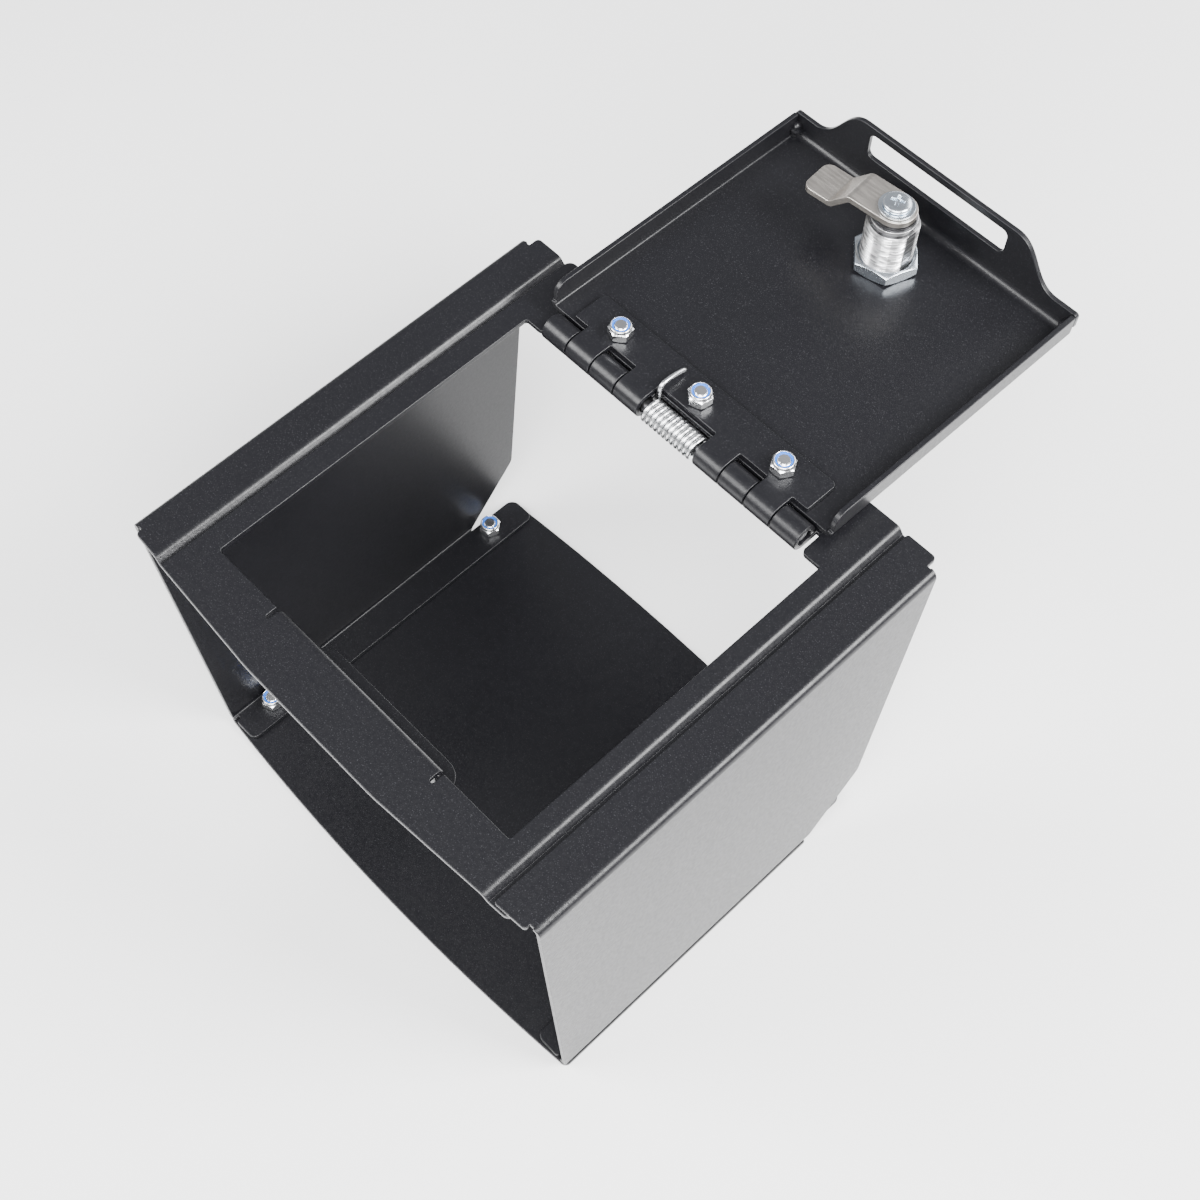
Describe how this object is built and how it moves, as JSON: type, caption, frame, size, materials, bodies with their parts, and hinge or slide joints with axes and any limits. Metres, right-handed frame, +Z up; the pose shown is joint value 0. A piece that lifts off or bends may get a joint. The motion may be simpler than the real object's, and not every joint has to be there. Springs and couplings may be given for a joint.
{
  "type": "console safe",
  "caption": "Folded sheet-steel safe for a vehicle's centre console, open at front and rear, with a sprung hinged lid and a cam lock that turns into a strike slot.",
  "frame": {"origin": "centre of the floor plate's underside, at the middle of its width and of its straight sides", "axes": "+Z up, +Y to the rear, where the hinge is; +X to the right of someone who faces the hinge"},
  "size_m": [0.195, 0.2905, 0.189],
  "materials": {
    "powder_coat": "fine-textured satin black powder coat",
    "zinc_fastener": "bright zinc plate",
    "blue_nylon": "blue nylon",
    "pin_steel": "drawn steel rod",
    "spring_zinc": "zinc-plated spring wire",
    "lock_zinc": "bright plated die casting",
    "lock_nut_zinc": "bluish zinc plate",
    "cam_steel": "brushed warm-grey steel"
  },
  "bodies": {
    "box": {"left_side_panel": "powder_coat", "right_side_panel": "powder_coat", "top_frame": "powder_coat", "floor_plate": "powder_coat", "floor_stud_1": "zinc_fastener", "floor_stud_2": "zinc_fastener", "floor_stud_3": "zinc_fastener", "floor_stud_4": "zinc_fastener", "floor_nut_1": "zinc_fastener", "floor_nut_2": "zinc_fastener", "floor_nut_3": "zinc_fastener", "floor_nut_4": "zinc_fastener", "floor_nut_ring_1": "blue_nylon", "floor_nut_ring_2": "blue_nylon", "floor_nut_ring_3": "blue_nylon", "floor_nut_ring_4": "blue_nylon", "hinge_pin": "pin_steel", "hinge_spring": "spring_zinc"},
    "lid": {"lid_tray": "powder_coat", "hinge_leaf": "powder_coat", "hinge_bolt_1": "zinc_fastener", "hinge_bolt_2": "zinc_fastener", "hinge_bolt_3": "zinc_fastener", "hinge_nut_1": "zinc_fastener", "hinge_nut_2": "zinc_fastener", "hinge_nut_3": "zinc_fastener", "hinge_nut_ring_1": "blue_nylon", "hinge_nut_ring_2": "blue_nylon", "hinge_nut_ring_3": "blue_nylon", "lock_housing": "lock_zinc", "lock_nut": "lock_nut_zinc"},
    "lock": {"lock_plug": "lock_zinc", "stop_washer": "zinc_fastener", "lock_cam": "cam_steel", "cam_washer": "zinc_fastener", "cam_screw": "zinc_fastener"}
  },
  "joints": [
    {"name": "lid_hinge", "type": "hinge", "parent": "box", "child": "lid", "pos_m": [0, 0.0699, 0.16], "axis": [1, 0, 0], "range_deg": [0, 182.2], "stiffness_Nm_per_rad": 0.12, "deforming": ["hinge_spring"]},
    {"name": "lock_turn", "type": "hinge", "parent": "lid", "child": "lock", "pos_m": [0, 0.17483, 0.15867], "axis": [0, -0.0384, -0.9993], "range_deg": [0, 90]}
  ]
}
